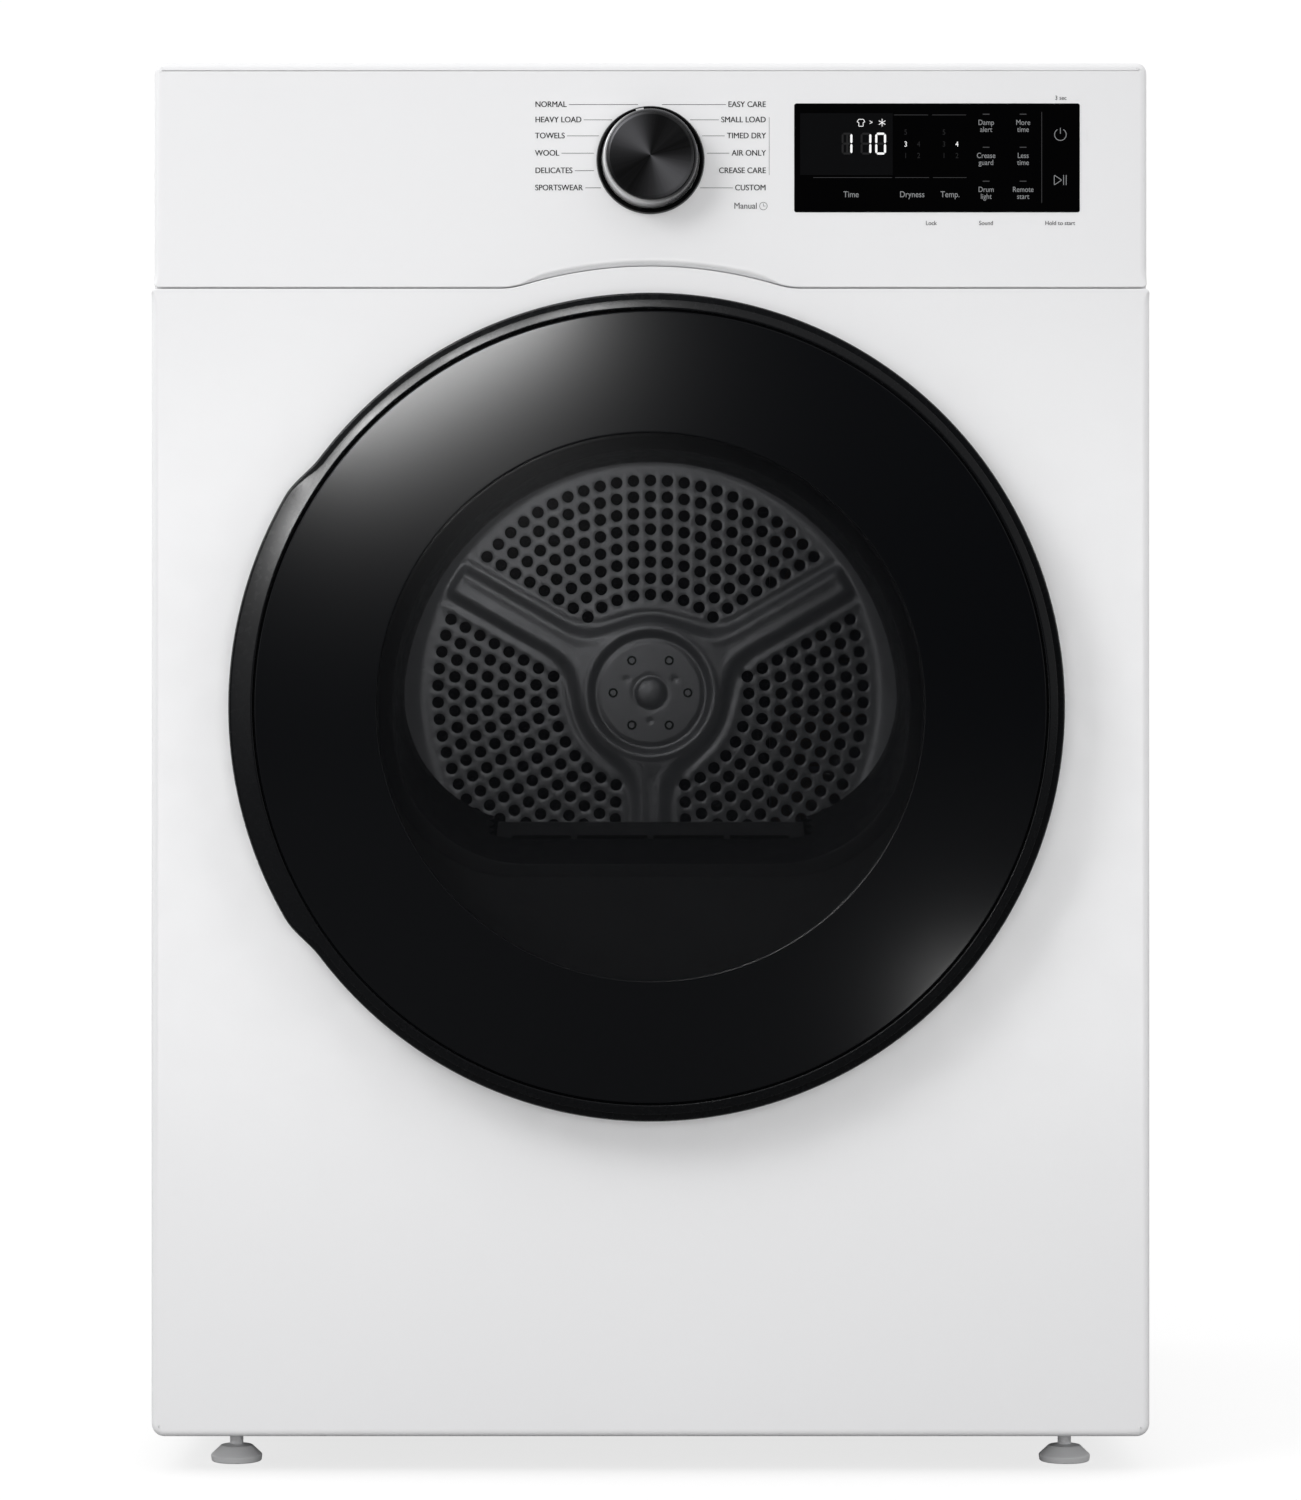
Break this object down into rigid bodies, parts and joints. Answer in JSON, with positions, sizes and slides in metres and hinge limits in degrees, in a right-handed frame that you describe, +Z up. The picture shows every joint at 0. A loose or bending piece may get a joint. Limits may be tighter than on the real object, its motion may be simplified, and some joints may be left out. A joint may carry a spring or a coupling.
{
  "type": "clothes dryer",
  "caption": "Front-loading clothes dryer with a round glass door, rotary dial, arched control fascia, perforated drum back, belt drive, blower, lint filter and rear duct collar.",
  "frame": {"origin": "on the floor under the middle of the dryer's bounding box", "axes": "+Z up, front faces -Y, +X to the right as seen from the front"},
  "size_m": [0.686, 0.789, 0.97],
  "materials": {
    "white_paint": "white enamel, satin gloss",
    "white_plastic": "white moulded plastic",
    "zinc_sheet": "zinc coated sheet",
    "drum_steel": "bright stainless sheet",
    "steel": "plated steel",
    "dark_gloss": "black glass-like gloss",
    "dark_metallic": "dark grey metallic",
    "silver": "bright satin",
    "black_plastic": "fine matt",
    "grey_plastic": "moulded grey",
    "black_rubber": "matt rubber",
    "clear_glass": "clear",
    "smoked_glass": "smoked gloss",
    "board_green": "circuit board",
    "felt": "wool felt",
    "heater_metal": "oxidised heater sheath"
  },
  "bodies": {
    "root": {"base_pan": "zinc_sheet", "left_side_panel": "white_paint", "right_side_panel": "white_paint", "rear_panel": "zinc_sheet", "top_cover": "white_paint", "front_panel": "white_paint", "control_fascia": "white_plastic", "display_window": "dark_gloss", "control_board": "board_green", "encoder_body": "grey_plastic", "door_seal": "black_rubber", "hinge_bracket": "steel", "door_catch": "black_plastic", "door_switch_body": "white_plastic", "front_bulkhead": "zinc_sheet", "lint_duct": "grey_plastic", "blower_housing": "grey_plastic", "exhaust_duct": "zinc_sheet", "motor_body": "zinc_sheet", "motor_mount": "zinc_sheet", "belt": "black_rubber", "idler_spring": "steel", "idler_post": "zinc_sheet", "heater_duct": "zinc_sheet", "heater_coil": "heater_metal", "rear_bearing": "steel", "bearing_bracket": "zinc_sheet", "roller_bracket_left": "zinc_sheet", "roller_bracket_right": "zinc_sheet", "terminal_cover": "zinc_sheet"},
    "door": {"door_rim": "dark_metallic", "door_outer_cover": "smoked_glass", "door_inner_frame": "grey_plastic", "door_bowl": "clear_glass", "door_strike": "steel", "hinge_pin": "steel"},
    "knob": {"knob_ring": "dark_metallic", "knob_skirt": "silver", "knob_cap": "black_plastic"},
    "drum": {"drum_shell": "drum_steel", "drum_back": "drum_steel", "drum_shaft": "steel", "drum_felt": "felt", "drum_baffle_1": "grey_plastic", "drum_baffle_2": "grey_plastic", "drum_baffle_3": "grey_plastic"},
    "motor_rotor": {"motor_shaft": "steel", "motor_pulley": "steel", "blower_fan": "grey_plastic"},
    "roller_left": {"drum_roller_left": "black_rubber"},
    "roller_right": {"drum_roller_right": "black_rubber"},
    "idler_arm": {"idler_arm": "steel"},
    "idler_pulley": {"idler_pulley": "black_plastic"},
    "lint_filter": {"lint_filter": "grey_plastic"},
    "plunger": {"switch_plunger": "white_plastic"},
    "foot_1": {"levelling_foot_1": "black_plastic"},
    "foot_2": {"levelling_foot_2": "black_plastic"},
    "foot_3": {"levelling_foot_3": "black_plastic"},
    "foot_4": {"levelling_foot_4": "black_plastic"}
  },
  "joints": [
    {"name": "door_swing", "type": "hinge", "parent": "root", "child": "door", "pos_m": [0.2595, -0.3645, 0.5269], "axis": [0, 0, 1], "range_deg": [0, 170]},
    {"name": "knob_turn", "type": "hinge", "parent": "root", "child": "knob", "pos_m": [0, -0.3605, 0.9028], "axis": [0, -1, 0], "continuous": true},
    {"name": "drum_spin", "type": "hinge", "parent": "root", "child": "drum", "pos_m": [0, 0.0095, 0.545], "axis": [0, 1, 0], "continuous": true},
    {"name": "motor_spin", "type": "hinge", "parent": "root", "child": "motor_rotor", "pos_m": [-0.06, -0.0905, 0.135], "axis": [0, 1, 0], "continuous": true},
    {"name": "roller_left_spin", "type": "hinge", "parent": "root", "child": "roller_left", "pos_m": [-0.20264, -0.2185, 0.25559], "axis": [0, 1, 0], "continuous": true},
    {"name": "roller_right_spin", "type": "hinge", "parent": "root", "child": "roller_right", "pos_m": [0.20264, -0.2185, 0.25559], "axis": [0, 1, 0], "continuous": true},
    {"name": "idler_swing", "type": "hinge", "parent": "root", "child": "idler_arm", "pos_m": [-0.215, -0.0105, 0.086], "axis": [0, -1, 0], "range_deg": [0, 12], "stiffness_Nm_per_rad": 3, "springref_deg": -22.92, "deforming": ["idler_spring"]},
    {"name": "idler_pulley_spin", "type": "hinge", "parent": "idler_arm", "child": "idler_pulley", "pos_m": [-0.15635, -0.0225, 0.19372], "axis": [0, 1, 0], "continuous": true},
    {"name": "lint_filter_lift", "type": "slide", "parent": "root", "child": "lint_filter", "axis": [0, 0, 1], "range_m": [0, 0.17]},
    {"name": "door_switch_press", "type": "slide", "parent": "root", "child": "plunger", "axis": [0, 1, 0], "range_m": [0, 0.0025], "stiffness_N_per_m": 300, "springref_m": -0.003},
    {"name": "foot_1_height", "type": "slide", "parent": "root", "child": "foot_1", "axis": [0, 0, -1], "range_m": [0, 0.015]},
    {"name": "foot_2_height", "type": "slide", "parent": "root", "child": "foot_2", "axis": [0, 0, -1], "range_m": [0, 0.015]},
    {"name": "foot_3_height", "type": "slide", "parent": "root", "child": "foot_3", "axis": [0, 0, -1], "range_m": [0, 0.015]},
    {"name": "foot_4_height", "type": "slide", "parent": "root", "child": "foot_4", "axis": [0, 0, -1], "range_m": [0, 0.015]}
  ],
  "couplings": [
    {"joint": "motor_spin", "follows": "drum_spin", "ratio": 24.867},
    {"joint": "roller_left_spin", "follows": "drum_spin", "ratio": -9.0857},
    {"joint": "roller_right_spin", "follows": "drum_spin", "ratio": -9.0857},
    {"joint": "idler_pulley_spin", "follows": "drum_spin", "ratio": -14.454}
  ]
}
